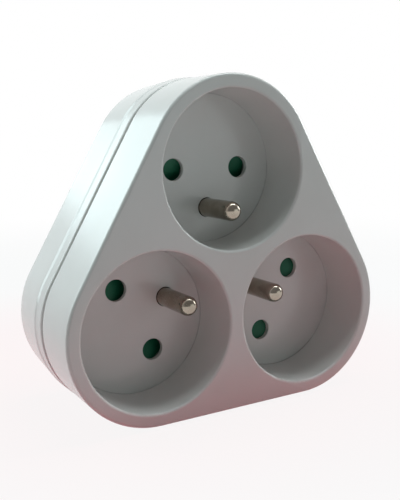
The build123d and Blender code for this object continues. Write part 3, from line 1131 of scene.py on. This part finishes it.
@dataclass(frozen=True)
class SoftBox:
    """Rectangular studio lamp.

    Attributes:
        name: Name of the lamp.
        place: Its position.
        aim: Point that it faces.
        size: Width and height.
        power: Power in watts.
        tint: Colour of its light.
    """

    name: str
    place: Point
    aim: Point
    size: tuple[float, float]
    power: float
    tint: Colour = (1.0, 1.0, 1.0)

    def build(self) -> bpy.types.Object:
        """Hangs the lamp.

        Returns:
            The lamp.
        """
        data = bpy.data.lights.new(self.name, "AREA")
        data.shape = "RECTANGLE"
        data.size, data.size_y = self.size
        data.energy = self.power
        data.color = self.tint
        lamp = bpy.data.objects.new(self.name, data)
        bpy.context.scene.collection.objects.link(lamp)
        lamp.location = self.place
        lamp.rotation_mode = "QUATERNION"
        lamp.rotation_quaternion = (Vector(self.aim) - Vector(self.place)).to_track_quat("-Z", "Y")
        return lamp


@dataclass
class Studio:
    """Floor, light and camera.

    Attributes:
        floor_size: Side of the floor.
        floor_colour: Colour of the floor beside the object.
        floor_far: Colour of the floor further out.
        floor_white: Share of plain white that the camera sees on the floor.
        floor_turn: Distances between which the floor turns to its far colour.
        floor_fade: Distances between which the floor fades to all white.
        floor_roughness: Roughness of the floor.
        floor_gloss: Specular level of the floor.
        ambience: Strength of the even light from all round.
        ambience_tint: Colour of the even light.
        front_gloom: Strength of what glossy surfaces mirror in front of the object.
        gloom_turn: Forward parts of a direction between which that strength rises to 1.
        azimuth: Camera's turn round Z in degrees.
        elevation: Camera's height above the horizon in degrees.
        roll: Camera's roll in degrees.
        distance: Camera's distance from its target.
        target: Point that the camera looks at.
        lens: Focal length in millimetres.
        sensor: Width of the sensor in millimetres.
        near: Nearest distance that the camera sees.
        lamps: The lamps.
    """

    floor_size: float = 6.0
    floor_colour: Colour = (0.74, 0.11, 0.15)
    floor_far: Colour = (0.55, 0.56, 0.56)
    floor_white: float = 0.90
    floor_turn: tuple[float, float] = (0.05, 0.13)
    floor_fade: tuple[float, float] = (0.16, 0.42)
    floor_roughness: float = 0.9
    floor_gloss: float = 0.1
    ambience: float = 0.15
    ambience_tint: Colour = (0.87, 1.0, 0.99)
    front_gloom: float = 0.25
    gloom_turn: tuple[float, float] = (-0.45, 0.05)
    azimuth: float = -29.713
    elevation: float = 9.404
    roll: float = -1.001
    distance: float = 167.555 * MM
    target: Point = (-10.367 * MM, -51.5 * MM, 6.373 * MM)
    lens: float = 51.191
    sensor: float = 36.0
    near: float = 5.0 * MM
    lamps: tuple[SoftBox, ...] = (
        SoftBox("left_window", (-0.26, 0.593, 0.347), SIDE_MIDDLE, (0.29, 0.36), 0.95, WINDOW_TINT),
        SoftBox("left_pane", (-0.119, 0.682, 0.20), SIDE_MIDDLE, (0.15, 0.12), 0.09, WINDOW_TINT),
        SoftBox("left_blind", (-0.512, 0.496, 0.225), SIDE_MIDDLE, (0.30, 0.42), 1.35, WINDOW_TINT),
        SoftBox("left_key", (-0.49, 0.25, 0.40), MIDDLE, (0.35, 0.45), 1.05, (0.86, 0.99, 1.0)),
        SoftBox("overhead", (0.12, -0.05, 0.50), MIDDLE, (0.20, 0.40), 1.6, (0.90, 0.99, 1.0)),
        SoftBox("right_sail", (0.55, -0.02, 0.18), MIDDLE, (0.40, 0.22), 1.5, (0.94, 0.99, 1.0)),
        SoftBox("front_fill", (0.50, -0.78, 0.10), MIDDLE, (0.60, 0.24), 0.34, (0.90, 1.0, 0.99)),
    )

    def build(self, lowest: float) -> None:
        """Builds the studio.

        Args:
            lowest: Height of the object's lowest point.
        """
        self._floor(lowest)
        self._world()
        for lamp in self.lamps:
            lamp.build()
        self._camera()
        bpy.context.scene.view_settings.view_transform = "Standard"

    @staticmethod
    def _seen_share(nodes: Nodes) -> bpy.types.NodeSocket:
        """Tells the rays that see the background: camera, glossy and transmitted ones.

        Args:
            nodes: Helper of the floor or the world.

        Returns:
            Socket that is 1 for such rays and 0 for others.
        """
        path = nodes.add("ShaderNodeLightPath")
        seen = nodes.maths("MAXIMUM", path.outputs["Is Camera Ray"], path.outputs["Is Glossy Ray"])
        return nodes.maths("MAXIMUM", seen, path.outputs["Is Transmission Ray"])

    def _floor(self, lowest: float) -> None:
        """Lays the floor.

        Args:
            lowest: Height of the floor.
        """
        Bench.clear_selection()
        bpy.ops.mesh.primitive_plane_add(size=self.floor_size, location=(0.0, 0.0, lowest))
        floor = bpy.context.object
        floor.name = "studio_floor"
        surface = Surface("pale_floor")
        surface.feed("Roughness", self.floor_roughness)
        surface.feed("Specular IOR Level", self.floor_gloss)
        away = surface.add("ShaderNodeVectorMath", {0: surface.where}, operation="LENGTH").outputs["Value"]
        turn = surface.remap(away, *self.floor_turn)
        surface.feed("Base Color", surface.blend(turn, self.floor_colour, self.floor_far))
        white = surface.add("ShaderNodeEmission", {"Strength": 1.0})
        white_share = surface.remap(away, *self.floor_fade, self.floor_white, 1.0)
        share = surface.maths("MULTIPLY", self._seen_share(surface), white_share)
        inputs = {0: share, 1: surface.shader.outputs[0], 2: white.outputs[0]}
        mix = surface.add("ShaderNodeMixShader", inputs)
        surface.put(surface.tree.nodes["Material Output"], "Surface", mix.outputs[0])
        floor.data.materials.append(surface.material)
        floor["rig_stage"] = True

    def _world(self) -> None:
        """Sets the even light and the white background."""
        world = bpy.data.worlds.new("studio_air")
        world.use_nodes = True
        bpy.context.scene.world = world
        nodes = Nodes(world.node_tree)
        light = world.node_tree.nodes["Background"]
        light.inputs["Color"].default_value = (*self.ambience_tint, 1.0)
        light.inputs["Strength"].default_value = self.ambience
        ahead = nodes.add("ShaderNodeTexCoord").outputs["Generated"]
        depth = nodes.add("ShaderNodeSeparateXYZ", {0: ahead}).outputs["Y"]
        mirrored = nodes.remap(depth, *self.gloom_turn, self.front_gloom, 1.0)
        direct = nodes.add("ShaderNodeLightPath").outputs["Is Camera Ray"]
        strength = nodes.maths("MAXIMUM", mirrored, direct)
        white = nodes.add("ShaderNodeBackground", {"Strength": strength, "Color": (1.0, 1.0, 1.0, 1.0)})
        inputs = {0: self._seen_share(nodes), 1: light.outputs[0], 2: white.outputs[0]}
        mix = nodes.add("ShaderNodeMixShader", inputs)
        nodes.put(world.node_tree.nodes["World Output"], "Surface", mix.outputs[0])

    def _camera(self) -> None:
        """Sets the camera at the photograph's angle."""
        turn, rise, roll = (math.radians(a) for a in (self.azimuth, self.elevation, self.roll))
        back = Vector((math.sin(turn) * math.cos(rise), -math.cos(turn) * math.cos(rise), math.sin(rise)))
        right = Vector((math.cos(turn), math.sin(turn), 0.0))
        up = back.cross(right)
        level_right = math.cos(roll) * right + math.sin(roll) * up
        level_up = math.cos(roll) * up - math.sin(roll) * right
        data = bpy.data.cameras.new("photo_camera")
        data.lens = self.lens
        data.sensor_width = self.sensor
        data.clip_start = self.near
        camera = bpy.data.objects.new("photo_camera", data)
        bpy.context.scene.collection.objects.link(camera)
        axes = Matrix((level_right, level_up, back)).transposed().to_4x4()
        camera.matrix_world = Matrix.Translation(Vector(self.target) + back * self.distance) @ axes
        bpy.context.scene.camera = camera


class Adapter:
    """The whole object: shells, hardware and finishes."""

    def __init__(self) -> None:
        """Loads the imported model."""
        self.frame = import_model()
        Bench.clear_selection()
        self.nodes: dict[str, bpy.types.Object] = self.frame["nodes"]
        self.cad_box = [list(corner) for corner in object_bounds()]
        self.materials = {slot: finish.material() for slot, finish in FINISHES.items()}

    def build(self) -> None:
        """Builds the new pieces and dresses everything."""
        pieces = [
            *(copy.build(self.nodes) for copy in self.smooth_copies()),
            *CasingScrew().build(),
            *ReturnSpring().build(),
        ]
        for piece in pieces:
            self._dress(piece, Slot(piece["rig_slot"]))
            LOG.info("piece %s: %d faces", piece.name, len(piece.data.polygons))
        for row in self.frame["record"]["subparts"]:
            self._dress(self.nodes[row["node"]], Slot(row["material_slot"]))

    @staticmethod
    def smooth_copies() -> list[SmoothCopy]:
        """Lists the shells and the pins, which have large round faces.

        Returns:
            Their copies, not yet built.
        """
        pins = [f"earth_pin_{outlet.label}" for outlet in Outlet] + ["line_plug_pin", "neutral_plug_pin"]
        shells = [
            SmoothCopy("front_housing", "front_shell", Slot.CASING, flat=True),
            SmoothCopy("rear_cover", "rear_shell", Slot.CASING, flat=True),
        ]
        return shells + [SmoothCopy(pin, f"plated_{pin}", Slot.PIN) for pin in pins]

    def _dress(self, piece: bpy.types.Object, slot: Slot) -> None:
        """Gives a piece its finish.

        Args:
            piece: The object.
            slot: Its material slot.
        """
        piece.data.materials.clear()
        piece.data.materials.append(self.materials[slot])


def main() -> None:
    """Builds the object and the studio."""
    logging.basicConfig(level=logging.INFO)
    adapter = Adapter()
    adapter.build()
    Studio().build(adapter.cad_box[0][2])


if __name__ == "__main__":
    main()
